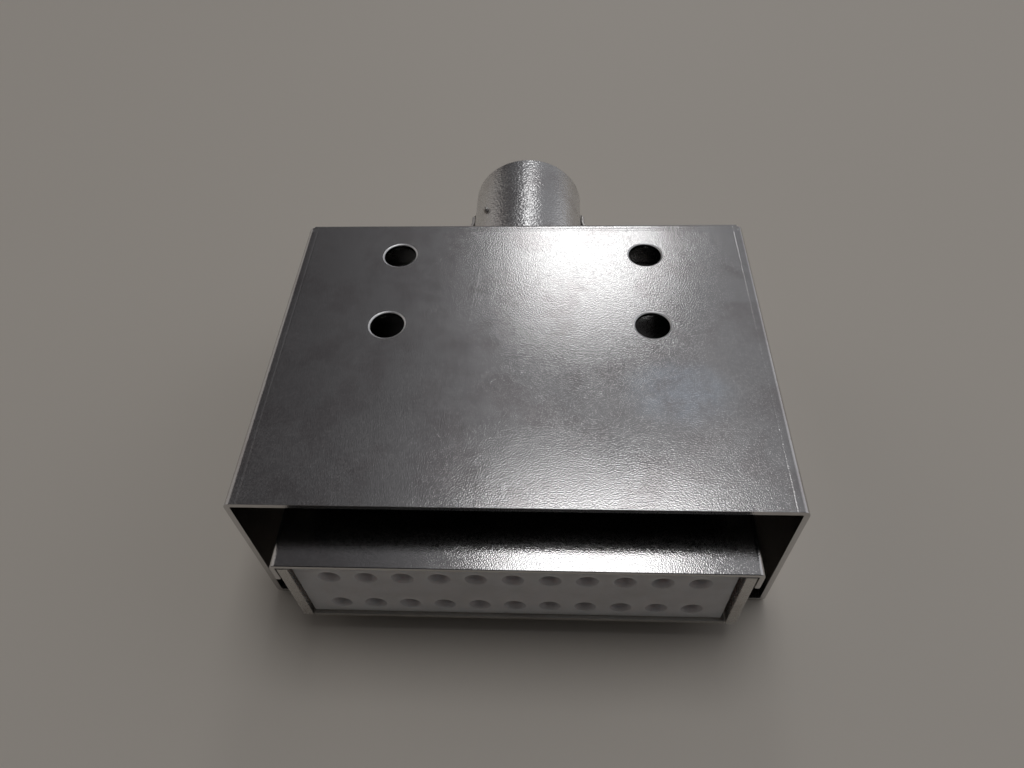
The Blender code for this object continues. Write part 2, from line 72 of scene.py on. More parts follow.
# Ceiling panels and the room round them, as the plating mirrors them
PANEL_HEIGHT = 2.05
NEAR_PANEL = ((-0.15, 0.530), (-0.20, 1.05))     # extent along X and along Y
FAR_PANEL = ((-0.115, 0.455), (2.02, 3.25))
PANEL_RADIANCE = 2.3
PANEL_COLOUR = (0.99, 0.995, 1.0)
ROOM_DARK = (0.048, 0.046, 0.048)
ROOM_PALE = (0.232, 0.232, 0.242)
ROOM_FAR_LEFT = (0.340, 0.322, 0.310)
ROOM_FAR_RIGHT = (0.560, 0.560, 0.580)
ROOM_FRONT = 0.13             # share of its brightness that the room keeps in front of the ports
FLOOR_REACH = 3.0

# Sheet-metal sizes
HOOD_SHEET = 0.0016
HOOD_BEND = 0.0020
HOOD_LIP = 0.0055
REAR_FLANGE_BOTTOM = 0.0055
HOOD_GROOVE = 0.0036          # tooling line, this far inside the hood's side and rear edges
GROOVE_HALF = 0.00022         # the side lines are narrow and the rear one is a soft valley
GROOVE_DEPTH = 0.00002
REAR_GROOVE_HALF = 0.00095
REAR_GROOVE_DEPTH = 0.000065
GROOVE_SHOULDER = 0.00020     # flat strip beside a groove, so that its shading stays narrow
HOLE_RADIUS = 0.0054
HOLE_CHAMFER = 0.00055
HOLE_CHAMFER_DEPTH = 0.00030
HOLE_X = 0.0415
HOLE_Y = (-0.0095, 0.0231)
SPOT_RADIUS = 0.0026
SPOT_DEPTH = 0.00014
RIVET_HOLE = 0.0019
COVER_SHEET = 0.0015
COVER_BEND = 0.0019
STRAP_SHEET = 0.0012
STRAP_KNEE_X = 0.0306
STRAP_KNEE_Y = 0.0725
EDGE_ROLL = 0.00034           # rounding of sheared sheet edges
PLATE_ROUND = 0.00025
STRAP_ROUND = 0.00030
CLIP_ROUND = 0.00020
BLOCK_ROUND = 0.00045
PAST = 0.002                  # how far a cutter runs past the face it opens

# Wear on the hood: hairlines as start, end, half-width and depth, and one rubbed oval
HOOD_MARKS = (((-0.0180, -0.034), (-0.0130, 0.024), 0.00008, 0.30),
              ((0.0230, -0.040), (0.0060, -0.052), 0.00007, 0.16),
              ((0.0180, 0.000), (0.0260, -0.022), 0.00007, 0.20),
              ((-0.0380, -0.040), (-0.0300, -0.058), 0.00007, 0.20))
HOOD_RUB = ((0.047, -0.036), (0.020, 0.015))

# Port block
PORT_COLUMNS = 11
PORT_PITCH = 0.01003
PORT_ROW_OFFSET = 0.0083
PORT_RADIUS = 0.00235
PORT_MOUTH = 0.0030
PORT_DISH = 0.0018
PORT_LIP = 0.00035

# Inlet
INLET_BORE = 0.0147
BACK_PLATE_HOLE = 0.0124
THREAD_PITCH = 0.0022
THREAD_DEPTH = 0.0009
THREAD_LENGTH = 0.0200

BEND_STEPS = 10
HOLE_STEPS = 72
ROUND_STEPS = 160
INLET_STEPS = 120

inlet_low, inlet_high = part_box("inlet_coupling")
INLET_X = (inlet_low.x + inlet_high.x) / 2
INLET_Z = (inlet_low.z + inlet_high.z) / 2
INLET_RADIUS = (inlet_high.x - inlet_low.x) / 2


# ---------------------------------------------------------------- mesh helpers

def axis_turn(axis):
    """Rotation that takes local Z to a direction."""
    return Vector(axis).to_track_quat("Z", "Y").to_matrix().to_4x4()


def to_object(name, shape, sharp=38):
    """Turn a bmesh into a linked object with outward faces and smooth round sides."""
    bmesh.ops.recalc_face_normals(shape, faces=shape.faces)
    mesh = bpy.data.meshes.new(name)
    shape.to_mesh(mesh)
    shape.free()
    mesh.shade_smooth()
    mesh.set_sharp_from_angle(angle=math.radians(sharp))
    made = bpy.data.objects.new(name, mesh)
    bpy.context.scene.collection.objects.link(made)
    return made


def add_box(shape, low, high):
    """A box between two corners."""
    verts = [shape.verts.new((x, y, z)) for x in (low[0], high[0]) for y in (low[1], high[1])
             for z in (low[2], high[2])]
    for loop in ((0, 1, 3, 2), (4, 6, 7, 5), (0, 4, 5, 1), (2, 3, 7, 6), (0, 2, 6, 4), (1, 5, 7, 3)):
        shape.faces.new([verts[index] for index in loop])


def add_turned(shape, profile, steps, place, closed=False, ripple=None):
    """Revolve (radius, height) points about local Z; ripple may change a point by its turn."""
    rings = []
    for radius, height in profile:
        if radius == 0:
            rings.append([shape.verts.new(place @ Vector((0, 0, height)))])
            continue
        ring = []
        for step in range(steps):
            turn = 2 * math.pi * step / steps
            wide, high = (radius, height) if ripple is None else ripple(radius, height, turn)
            ring.append(shape.verts.new(place @ Vector((wide * math.cos(turn), wide * math.sin(turn), high))))
        rings.append(ring)
    pairs = list(zip(rings, rings[1:]))
    if closed:
        pairs.append((rings[-1], rings[0]))
    for lower, upper in pairs:
        for step in range(steps):
            after = (step + 1) % steps
            if len(lower) == 1:
                shape.faces.new((lower[0], upper[after], upper[step]))
            elif len(upper) == 1:
                shape.faces.new((lower[step], lower[after], upper[0]))
            else:
                shape.faces.new((lower[step], lower[after], upper[after], upper[step]))


def add_cylinder(shape, radius, start, end, steps):
    """A plain closed cylinder between two points."""
    run = Vector(end) - Vector(start)
    place = Matrix.Translation(start) @ axis_turn(run)
    add_turned(shape, [(0, 0), (radius, 0), (radius, run.length), (0, run.length)], steps, place)


def add_prism(shape, outline, low, high, place):
    """Extrude a closed flat outline; place maps (a, b, depth) to a point."""
    rings = [[shape.verts.new(place(a, b, depth)) for a, b in outline] for depth in (low, high)]
    count = len(outline)
    for index in range(count):
        after = (index + 1) % count
        shape.faces.new((rings[0][index], rings[0][after], rings[1][after], rings[1][index]))
    shape.faces.new(rings[0])
    shape.faces.new(rings[1])


def folded_pairs(corners, bend, sheet):
    """Outer and inner points of a folded sheet that lies to the right of its outer path."""
    path = [Vector(corner) for corner in corners]
    ahead = (path[1] - path[0]).normalized()
    side = Vector((ahead.y, -ahead.x))
    pairs = [(path[0], path[0] + side * sheet)]
    for before, corner, after in zip(path, path[1:], path[2:]):
        arrive = (corner - before).normalized()
        leave = (after - corner).normalized()
        turn = math.atan2(arrive.x * leave.y - arrive.y * leave.x, arrive.dot(leave))
        inward = 1.0 if turn < 0 else -1.0
        radius = bend if turn < 0 else bend - sheet
        start_side = Vector((arrive.y, -arrive.x))
        centre = corner - arrive * radius * math.tan(abs(turn) / 2) + start_side * radius * inward
        for step in range(BEND_STEPS + 1):
            swing = turn * step / BEND_STEPS
            side = Vector((start_side.x * math.cos(swing) - start_side.y * math.sin(swing),
                           start_side.x * math.sin(swing) + start_side.y * math.cos(swing)))
            outer = centre - side * radius * inward
            pairs.append((outer, outer + side * sheet))
    ahead = (path[-1] - path[-2]).normalized()
    side = Vector((ahead.y, -ahead.x))
    pairs.append((path[-1], path[-1] + side * sheet))
    return pairs


def add_folded(shape, pairs, start, end, place):
    """Extrude a folded outline from start to end."""
    rows = [[shape.verts.new(place(point.x, point.y, depth)) for depth in (start, end) for point in pair]
            for pair in pairs]
    for this, after in zip(rows, rows[1:]):
        shape.faces.new((this[0], after[0], after[2], this[2]))
        shape.faces.new((this[1], this[3], after[3], after[1]))
        shape.faces.new((this[0], this[1], after[1], after[0]))
        shape.faces.new((this[2], after[2], after[3], this[3]))
    shape.faces.new((rows[0][0], rows[0][2], rows[0][3], rows[0][1]))
    shape.faces.new((rows[-1][0], rows[-1][1], rows[-1][3], rows[-1][2]))


def across(a, b, depth):
    """Outline in XZ, extruded along Y."""
    return Vector((a, depth, b))


def upright(a, b, depth):
    """Outline in XY, extruded along Z."""
    return Vector((a, b, depth))


def cut(target, shape):
    """Take a bmesh of closed bodies out of an object."""
    cutter = to_object(target.name + "_cutter", shape)
    boolean = target.modifiers.new("cut", "BOOLEAN")
    boolean.operation = "DIFFERENCE"
    boolean.solver = "EXACT"
    boolean.object = cutter
    settle(target)
    bpy.data.objects.remove(cutter)


def soften(target, width, segments=3, angle=40):
    """Round the sharp edges of a piece."""
    bevel = target.modifiers.new("round", "BEVEL")
    bevel.width = width
    bevel.segments = segments
    bevel.limit_method = "ANGLE"
    bevel.angle_limit = math.radians(angle)
    bevel.harden_normals = True
    bevel.use_clamp_overlap = True
    settle(target)


def settle(target):
    """Apply the modifiers of a piece."""
    depsgraph = bpy.context.evaluated_depsgraph_get()
    mesh = bpy.data.meshes.new_from_object(target.evaluated_get(depsgraph))
    target.modifiers.clear()
    target.data = mesh


def place_piece(piece, material, node):
    """Give a piece its material, its place in the frame and the node it stands for."""
    piece.data.materials.clear()
    piece.data.materials.append(material)
    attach(piece, BODY)
    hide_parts(node)
    return piece


# ---------------------------------------------------------------- materials

def new_node(tree, kind, settings=None, **inputs):
    """Add a shader node; an input is a value or another node's output."""
    made = tree.nodes.new("ShaderNode" + kind)
    for key, value in (settings or {}).items():
        setattr(made, key, value)
    for key, value in inputs.items():
        socket = made.inputs[key.replace("_", " ")]
        if isinstance(value, bpy.types.NodeSocket):
            tree.links.new(value, socket)
        else:
            socket.default_value = value
    return made


def noise_at(tree, coords, scale, detail=2.0, roughness=0.5, stretch=(1, 1, 1), turn=(0, 0, 0),
             offset=(0, 0, 0)):
    """Noise whose pattern is set out in the piece's own coordinates."""
    mapping = new_node(tree, "Mapping", Vector=coords, Scale=stretch, Rotation=turn, Location=offset)
    noise = new_node(tree, "TexNoise", Vector=mapping.outputs["Vector"], Scale=scale, Detail=detail,
                     Roughness=roughness)
    return noise.outputs["Fac"]


def remap(tree, value, low, high, to_low, to_high, smooth=False):
    """Carry a value from one range to another, held at its ends."""
    kind = "SMOOTHSTEP" if smooth else "LINEAR"
    made = new_node(tree, "MapRange", {"interpolation_type": kind}, Value=value, From_Min=low, From_Max=high,
                    To_Min=to_low, To_Max=to_high)
    return made.outputs["Result"]


def combine(tree, operation, first, second=0.0):
    """Arithmetic on one or two values."""
    made = tree.nodes.new("ShaderNodeMath")
    made.operation = operation
    for socket, value in zip(made.inputs, (first, second)):
        if isinstance(value, bpy.types.NodeSocket):
            tree.links.new(value, socket)
        else:
            socket.default_value = value
    return made.outputs[0]


def blend_colour(tree, factor, first, second, mode="MIX"):
    """Mix of two colours."""
    made = tree.nodes.new("ShaderNodeMix")
    made.data_type = "RGBA"
    made.blend_type = mode
    for index, value in ((0, factor), (6, first), (7, second)):
        if isinstance(value, bpy.types.NodeSocket):
            tree.links.new(value, made.inputs[index])
        else:
            made.inputs[index].default_value = value
    return made.outputs[2]


def bump_of(tree, height, distance, below=None):
    """Bump from a height, on top of another bump."""
    made = new_node(tree, "Bump", Height=height, Distance=distance)
    if below is not None:
        tree.links.new(below, made.inputs["Normal"])
    return made.outputs["Normal"]


def new_material(name, colour, roughness, metallic):
    """A material with constant values on its Principled BSDF, ready for its pattern."""
    made = bpy.data.materials.new(name)
    made.use_nodes = True
    tree = made.node_tree
    shader = tree.nodes["Principled BSDF"]
    shader.inputs["Base Color"].default_value = (*colour, 1.0)
    shader.inputs["Roughness"].default_value = roughness
    shader.inputs["Metallic"].default_value = metallic
    coords = tree.nodes.new("ShaderNodeTexCoord").outputs["Object"]
    return made, tree, shader, coords


def scratch_mask(tree, coords, start, end, width):
    """One hairline between two points of the plan, fading out at both ends."""
    run = Vector(end) - Vector(start)
    turn = math.atan2(run.y, run.x)
    mapping = new_node(tree, "Mapping", {"vector_type": "TEXTURE"}, Vector=coords,
                       Location=(*start, 0), Rotation=(0, 0, turn))
    parts = new_node(tree, "SeparateXYZ", Vector=mapping.outputs["Vector"])
    wander = noise_at(tree, coords, 60.0, 2.0, 0.5)
    sway = remap(tree, wander, 0.0, 1.0, -2 * width, 2 * width)
    across_line = combine(tree, "ADD", parts.outputs["Y"], sway)
    off = combine(tree, "ABSOLUTE", across_line)
    middle = combine(tree, "ABSOLUTE", combine(tree, "SUBTRACT", parts.outputs["X"], run.length / 2))
    inside = remap(tree, middle, run.length * 0.30, run.length * 0.50, 1.0, 0.0, True)
    return combine(tree, "MULTIPLY", remap(tree, off, 0.0, width, 1.0, 0.0), inside)


def patch_mask(tree, coords, centre, reach):
    """Soft oval on the plan, broken up by noise."""
    mapping = new_node(tree, "Mapping", {"vector_type": "TEXTURE"}, Vector=coords,
                       Location=(*centre, 0), Scale=(*reach, 1000.0))
    distance = new_node(tree, "VectorMath", {"operation": "LENGTH"})
    tree.links.new(mapping.outputs["Vector"], distance.inputs[0])
    edge = remap(tree, distance.outputs["Value"], 0.35, 1.0, 1.0, 0.0, True)
    broken = remap(tree, noise_at(tree, coords, 130.0, 4.0, 0.65), 0.30, 0.70, 0.2, 1.0)
    return combine(tree, "MULTIPLY", edge, broken)


def hole_rim_bare_and_highlight_mask(tree, coords):
    """Chamfers of the four mounting holes, which lie mirrored about both of their middles; the mask carries
    the painted rim highlight.
    """
    parts = new_node(tree, "SeparateXYZ", Vector=coords)
    off_x = combine(tree, "SUBTRACT", combine(tree, "ABSOLUTE", parts.outputs["X"]), HOLE_X)
    from_middle = combine(tree, "SUBTRACT", parts.outputs["Y"], sum(HOLE_Y) / 2)
    off_y = combine(tree, "SUBTRACT", combine(tree, "ABSOLUTE", from_middle), (HOLE_Y[1] - HOLE_Y[0]) / 2)
    plan = new_node(tree, "CombineXYZ", X=off_x, Y=off_y)
    distance = new_node(tree, "VectorMath", {"operation": "LENGTH"})
    tree.links.new(plan.outputs["Vector"], distance.inputs[0])
    off = combine(tree, "SUBTRACT", distance.outputs["Value"], HOLE_RADIUS + HOLE_CHAMFER / 2)
    return combine(tree, "LESS_THAN", combine(tree, "ABSOLUTE", off), HOLE_CHAMFER * 0.48)


def plated(name, colour, rough, grain_scale, grain_height, smudge=1.0, marks=(), rub=None, holes=False):
    """Nickel plate: fine orange-peel grain, handling smudges, hairlines and a few small nicks."""
    made, tree, shader, coords = new_material(name, colour, sum(rough) / 2, 1.0)
    grain = noise_at(tree, coords, grain_scale, 0.5, 0.5)
    speck = noise_at(tree, coords, grain_scale * 0.9, 0.5, 0.5, offset=(0.5, 0.6, 0.1))
    haze = noise_at(tree, coords, 30.0, 5.0, 0.62)
    cloud = noise_at(tree, coords, 60.0, 5.0, 0.65, offset=(0.31, 0.17, 0.05))
    wave = noise_at(tree, coords, 14.0, 1.0, 0.4, offset=(0.7, 0.2, 0.4))
    hair = noise_at(tree, coords, 1.0, 1.0, 0.5, stretch=(1900, 45, 400), turn=(0, 0, 0.04))
    patch = noise_at(tree, coords, 42.0, 2.0, 0.5, offset=(0.9, 0.4, 0.2))
    lines = combine(tree, "MULTIPLY", remap(tree, hair, 0.76, 0.80, 0.0, 0.35),
                    remap(tree, patch, 0.52, 0.64, 0.0, 1.0, True))
    for start, end, width, depth in marks:
        hairline = combine(tree, "MULTIPLY", scratch_mask(tree, coords, start, end, width), depth)
        lines = combine(tree, "ADD", lines, hairline)
    cells = new_node(tree, "TexVoronoi", {"feature": "F1"}, Vector=coords, Scale=170.0)
    chance = new_node(tree, "SeparateColor", Color=cells.outputs["Color"]).outputs["Red"]
    nicks = combine(tree, "LESS_THAN", cells.outputs["Distance"], remap(tree, chance, 0.95, 1.0, 0.0, 0.075))
    dull = combine(tree, "MULTIPLY", remap(tree, haze, 0.36, 0.70, 0.0, 1.0, True), smudge)
    roughness = combine(tree, "ADD", remap(tree, dull, 0.0, 1.0, rough[0], rough[1]),
                        combine(tree, "MULTIPLY", lines, 0.12))
    dark = tuple(channel * share for channel, share in zip(colour, (0.88, 0.86, 0.86))) + (1.0,)
    clouded = combine(tree, "MULTIPLY", remap(tree, cloud, 0.44, 0.66, 0.0, 1.0, True), smudge)
    shade = blend_colour(tree, clouded, (*colour, 1.0), dark)
    bright = tuple(min(1.0, channel * 1.3) for channel in colour) + (1.0,)
    bare = combine(tree, "ADD", combine(tree, "MULTIPLY", lines, 0.6), nicks)
    shade = blend_colour(tree, bare, shade, bright)
    if rub is not None:
        worn = patch_mask(tree, coords, *rub)
        shade = blend_colour(tree, worn, shade, (0.62, 0.66, 0.71, 1.0))
        roughness = combine(tree, "ADD", roughness, combine(tree, "MULTIPLY", worn, 0.05))
    if holes:
        # Hole chamfers: rougher deburred metal, plus a near-white colour painted on as the rims' highlight.
        rim_bare_and_highlight = hole_rim_bare_and_highlight_mask(tree, coords)
        shade = blend_colour(tree, rim_bare_and_highlight, shade, (0.92, 0.92, 0.92, 1.0))
        roughness = combine(tree, "ADD", roughness, combine(tree, "MULTIPLY", rim_bare_and_highlight, 0.28))
    roughness = combine(tree, "ADD", roughness, remap(tree, speck, 0.25, 0.75, -0.06, 0.06))
    tree.links.new(roughness, shader.inputs["Roughness"])
    tree.links.new(shade, shader.inputs["Base Color"])
    normal = bump_of(tree, grain, grain_height)
    normal = bump_of(tree, wave, 0.00004, normal)
    normal = bump_of(tree, combine(tree, "ADD", lines, nicks), 0.000012, normal)
    tree.links.new(normal, shader.inputs["Normal"])
    return made


def ceramic_material():
    """Milky white fired ceramic with faint mottling and specks."""
    colour = (0.72, 0.71, 0.73)
    made, tree, shader, coords = new_material("ceramic_white", colour, 0.5, 0.0)
    shader.inputs["Subsurface Weight"].default_value = 1.0
    shader.inputs["Subsurface Radius"].default_value = (0.0080, 0.0070, 0.0066)
    shader.inputs["Subsurface Scale"].default_value = 1.0
    mottle = noise_at(tree, coords, 120.0, 4.0, 0.6)
    grain = noise_at(tree, coords, 3800.0, 2.0, 0.6)
    stain = noise_at(tree, coords, 45.0, 3.0, 0.6, offset=(0.2, 0.0, 0.1))
    shade = blend_colour(tree, remap(tree, mottle, 0.35, 0.70, 0.0, 1.0, True), (*colour, 1.0),
                         (0.66, 0.65, 0.66, 1.0))
    shade = blend_colour(tree, remap(tree, stain, 0.60, 0.78, 0.0, 0.6, True), shade, (0.60, 0.58, 0.56, 1.0))
    tree.links.new(shade, shader.inputs["Base Color"])
    tree.links.new(remap(tree, mottle, 0.3, 0.7, 0.38, 0.58), shader.inputs["Roughness"])
    tree.links.new(bump_of(tree, grain, 0.00002), shader.inputs["Normal"])
    return made


def fibre_material():
    """Dark pressed fibre of the gasket."""
    colour = (0.06, 0.055, 0.05)
    made, tree, shader, coords = new_material("gasket_fibre", colour, 0.9, 0.0)
    strands = noise_at(tree, coords, 900.0, 3.0, 0.7, stretch=(1, 3, 1))
    shade = blend_colour(tree, strands, (*colour, 1.0), (0.16, 0.15, 0.14, 1.0))
    tree.links.new(shade, shader.inputs["Base Color"])
    tree.links.new(remap(tree, strands, 0.3, 0.7, 0.80, 0.96), shader.inputs["Roughness"])
    tree.links.new(bump_of(tree, strands, 0.0002), shader.inputs["Normal"])
    return made


def floor_material():
    """Plain pale floor."""
    colour = (0.80, 0.74, 0.66)
    made, tree, shader, coords = new_material("floor_pale", colour, 0.6, 0.0)
    tone = noise_at(tree, coords, 3.0, 2.0, 0.5)
    shade = blend_colour(tree, tone, (*colour, 1.0), (0.77, 0.71, 0.63, 1.0))
    tree.links.new(shade, shader.inputs["Base Color"])
    return made


# ---------------------------------------------------------------- pieces

def groove_profile(half, depth):
    """Offsets across a tooling line and its depth there, with a flat shoulder on each side."""
    shoulder = half + GROOVE_SHOULDER
    return ((-shoulder, 0), (-half, 0), (-half / 2, depth / 2), (0, depth), (half / 2, depth / 2),
            (half, 0), (shoulder, 0))


def hood_section(low, high):
    """Outer and inner points of the channel's section, and where its web starts and ends."""
    half = high.x
    outline = [(-half + HOOD_LIP, low.z), (-half, low.z), (-half, high.z),
               (half, high.z), (half, low.z), (half - HOOD_LIP, low.z)]
    pairs = folded_pairs(outline, HOOD_BEND, HOOD_SHEET)
    first_web = 2 * (BEND_STEPS + 1)
    grooves = []
    for centre in (-half + HOOD_GROOVE, half - HOOD_GROOVE):
        for shift, depth in groove_profile(GROOVE_HALF, GROOVE_DEPTH):
            x = centre + shift
            grooves.append((Vector((x, high.z - depth)), Vector((x, high.z - HOOD_SHEET))))
    pairs[first_web + 1:first_web + 1] = grooves
    return pairs, first_web, first_web + len(grooves) + 1


def hood_stations(low, high):
    """Places along Y where the section is repeated, and how far its web dips there."""
    rear_groove = high.y - HOOD_GROOVE
    stations = [(low.y, 0)]
    for shift, dip in groove_profile(REAR_GROOVE_HALF, REAR_GROOVE_DEPTH):
        stations.append((rear_groove + shift, dip))
    stations.append((high.y - HOOD_BEND, 0))
    return stations


def add_hood_faces(shape, outer, inner, webs, channel):
    """Skin the hood's rows of points; only the web's rows run on past the channel into the flange."""
    first_web, last_web = webs
    whole = len(outer[first_web])
    for index in range(len(outer) - 1):
        count = whole if first_web <= index < last_web else channel
        for chain, flip in ((outer, False), (inner, True)):
            this, after = chain[index], chain[index + 1]
            for step in range(count - 1):
                loop = [this[step], after[step], after[step + 1], this[step + 1]]
                shape.faces.new(loop[::-1] if flip else loop)
        for step in (0, count - 1):
            shape.faces.new((outer[index][step], outer[index + 1][step],
                             inner[index + 1][step], inner[index][step]))
    for index, start, end in ((0, 0, channel), (len(outer) - 1, 0, channel),
                              (first_web, channel - 1, whole), (last_web, channel - 1, whole)):
        for step in range(start, end - 1):
            shape.faces.new((outer[index][step], outer[index][step + 1],
                             inner[index][step + 1], inner[index][step]))


def make_hood(material):
    """Folded hood: channel with inward lips, tooling lines, and a rear flange folded off its web."""
    low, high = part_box("hood")
    pairs, first_web, last_web = hood_section(low, high)
    stations = hood_stations(low, high)
    before_bend = high.y - 2 * HOOD_BEND
    flange = folded_pairs([(before_bend, high.z), (high.y, high.z), (high.y, REAR_FLANGE_BOTTOM)],
                          HOOD_BEND, HOOD_SHEET)[2:]
    shape = bmesh.new()
    outer, inner = [], []
    for index, (out, into) in enumerate(pairs):
        web = first_web <= index <= last_web
        side_dip = high.z - out.y
        outer.append([shape.verts.new((out.x, y, high.z - max(side_dip, dip) if web else out.y))
                      for y, dip in stations])
        inner.append([shape.verts.new((into.x, y, into.y)) for y, dip in stations])
        if web:
            for out_fold, into_fold in flange:
                outer[-1].append(shape.verts.new((out.x, out_fold.x, out_fold.y)))
                inner[-1].append(shape.verts.new((into.x, into_fold.x, into_fold.y)))
    add_hood_faces(shape, outer, inner, (first_web, last_web), len(stations))
    hood = to_object("hood_shell", shape, 12)
    cut(hood, hood_openings(high))
    soften(hood, EDGE_ROLL)
    return place_piece(hood, material, "hood")


def hood_openings(high):
    """Chamfered mounting holes, the inlet's slot, the rivet holes and the shallow spot-weld marks."""
    shape = bmesh.new()
    top = [(0, -PAST - HOOD_SHEET), (HOLE_RADIUS, -PAST - HOOD_SHEET), (HOLE_RADIUS, -HOLE_CHAMFER_DEPTH),
           (HOLE_RADIUS + HOLE_CHAMFER * 0.35, -HOLE_CHAMFER_DEPTH * 0.45), (HOLE_RADIUS + HOLE_CHAMFER, 0),
           (HOLE_RADIUS + HOLE_CHAMFER, PAST), (0, PAST)]
    for x in (-HOLE_X, HOLE_X):
        for y in HOLE_Y:
            add_turned(shape, top, HOLE_STEPS, Matrix.Translation((x, y, high.z)))
    weld_low, weld_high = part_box("inlet_weld")
    slot = (weld_high.x - weld_low.x) / 2 + 2 * GAP
    arch = [(INLET_X + slot * math.cos(turn), INLET_Z + slot * math.sin(turn))
            for turn in (math.pi * step / 40 for step in range(41))]
    arch += [(INLET_X - slot, -0.005), (INLET_X + slot, -0.005)]
    add_prism(shape, arch, high.y - HOOD_SHEET - 0.003, high.y + 0.003, across)
    for number in (1, 2, 3, 4):
        rivet_low, rivet_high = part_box("strap_rivet_" + str(number))
        middle = (rivet_low + rivet_high) / 2
        add_cylinder(shape, RIVET_HOLE, (middle.x, high.y - 2 * PAST, middle.z),
                     (middle.x, high.y + PAST, middle.z), 32)
    for number in (1, 2, 3, 4):
        clip_low, clip_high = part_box("side_clip_" + str(number))
        middle = (clip_low + clip_high) / 2
        side = math.copysign(1, middle.x)
        ball = (SPOT_RADIUS ** 2 + SPOT_DEPTH ** 2) / (2 * SPOT_DEPTH)
        place = Matrix.Translation((side * high.x, middle.y, middle.z)) @ axis_turn((side, 0, 0))
        profile = [(0, -SPOT_DEPTH)]
        for step in range(1, 9):
            reach = SPOT_RADIUS * step / 8
            profile.append((reach, ball - SPOT_DEPTH - math.sqrt(ball ** 2 - reach ** 2)))
        profile += [(SPOT_RADIUS, PAST), (0, PAST)]
        add_turned(shape, profile, 40, place)
    return shape


def make_cover(material):
    """Sheet over the front of the box, folded down at both sides."""
    low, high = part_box("cover")
    outline = [(low.x, low.z), (low.x, high.z), (high.x, high.z), (high.x, low.z)]
    shape = bmesh.new()
    add_folded(shape, folded_pairs(outline, COVER_BEND, COVER_SHEET), low.y, high.y, across)
    cover = to_object("cover_shell", shape)
    soften(cover, EDGE_ROLL)
    return place_piece(cover, material, "cover")


def make_plate(name, material):
    """Flat plate of the box; the back plate has the inlet's hole."""
    low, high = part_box(name)
    shape = bmesh.new()
    add_box(shape, low, high)
    plate = to_object(name + "_sheet", shape)
    if name == "back_plate":
        hole = bmesh.new()
        middle = (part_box("bottom_plate")[0].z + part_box("cover")[1].z) / 2
        add_cylinder(hole, BACK_PLATE_HOLE, (INLET_X, low.y - PAST, middle),
                     (INLET_X, high.y + PAST, middle), ROUND_STEPS)
        cut(plate, hole)
    soften(plate, PLATE_ROUND)
    return place_piece(plate, material, name)


def make_block(material):
    """Ceramic block; every port opens through a rounded, dished mouth."""
    low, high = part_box("ceramic_block")
    middle = (low + high) / 2
    shape = bmesh.new()
    add_box(shape, low, high)
    block = to_object("port_block", shape)
    soften(block, BLOCK_ROUND)
    ports = bmesh.new()
    past = 0.001
    depth = high.y - low.y
    profile = [(0, -past), (PORT_MOUTH + PORT_LIP, -past)]
    for step in range(6):
        turn = math.pi / 2 * step / 5
        profile.append((PORT_MOUTH + PORT_LIP * (1 - math.sin(turn)), PORT_LIP * (1 - math.cos(turn))))
    for step in range(1, 8):
        share = step / 7
        narrow = (1 - math.cos(math.pi * share)) / 2
        profile.append((PORT_MOUTH - (PORT_MOUTH - PORT_RADIUS) * narrow,
                        PORT_LIP + (PORT_DISH - PORT_LIP) * share))
    profile += [(PORT_RADIUS, depth + past), (0, depth + past)]
    for row in (-PORT_ROW_OFFSET, PORT_ROW_OFFSET):
        for column in range(PORT_COLUMNS):
            x = middle.x + PORT_PITCH * (column - (PORT_COLUMNS - 1) / 2)
            place = Matrix.Translation((x, low.y, middle.z + row)) @ axis_turn((0, 1, 0))
            add_turned(ports, profile, 40, place)
    cut(block, ports)
    block.data.set_sharp_from_angle(angle=math.radians(50))
    return place_piece(block, material, "ceramic_block")


def make_inlet(material):
    """Pipe coupling with a helical thread at its open end."""
    low, high = inlet_low, inlet_high
    radius = INLET_RADIUS
    length = high.y - low.y
    rows = int(THREAD_LENGTH / THREAD_PITCH * 8)

    def thread(wide, high_at, turn):
        depth_in = length - high_at
        phase = (depth_in / THREAD_PITCH + turn / (2 * math.pi)) % 1.0
        ridge = 1 - abs(2 * phase - 1)
        fade = min(1.0, max(0.0, (THREAD_LENGTH - depth_in) / 0.003)) * min(1.0, depth_in / 0.0008)
        if wide < radius * 0.8:
            return wide + THREAD_DEPTH * ridge * fade, high_at
        return wide, high_at

    edge = 0.0008
    arc = [math.pi / 2 * step / 5 for step in range(6)]
    profile = [(INLET_BORE + 0.0010, 0), (radius - edge, 0)]
    profile += [(radius - edge + edge * math.sin(turn), edge - edge * math.cos(turn)) for turn in arc[1:]]
    profile += [(radius - edge + edge * math.cos(turn), length - edge + edge * math.sin(turn))
                for turn in arc]
    profile += [(INLET_BORE + 0.0022, length), (INLET_BORE + 0.0016, length - 0.0007)]
    for row in range(rows + 1):
        share = row / rows
        profile.append((INLET_BORE, length - 0.0016 - (THREAD_LENGTH - 0.0016) * share))
    profile += [(INLET_BORE, 0.0010)]
    shape = bmesh.new()
    place = Matrix.Translation((INLET_X, low.y, INLET_Z)) @ axis_turn((0, 1, 0))
    add_turned(shape, profile, INLET_STEPS, place, closed=True, ripple=thread)
    inlet = to_object("inlet_socket", shape)
    return place_piece(inlet, material, "inlet_coupling")


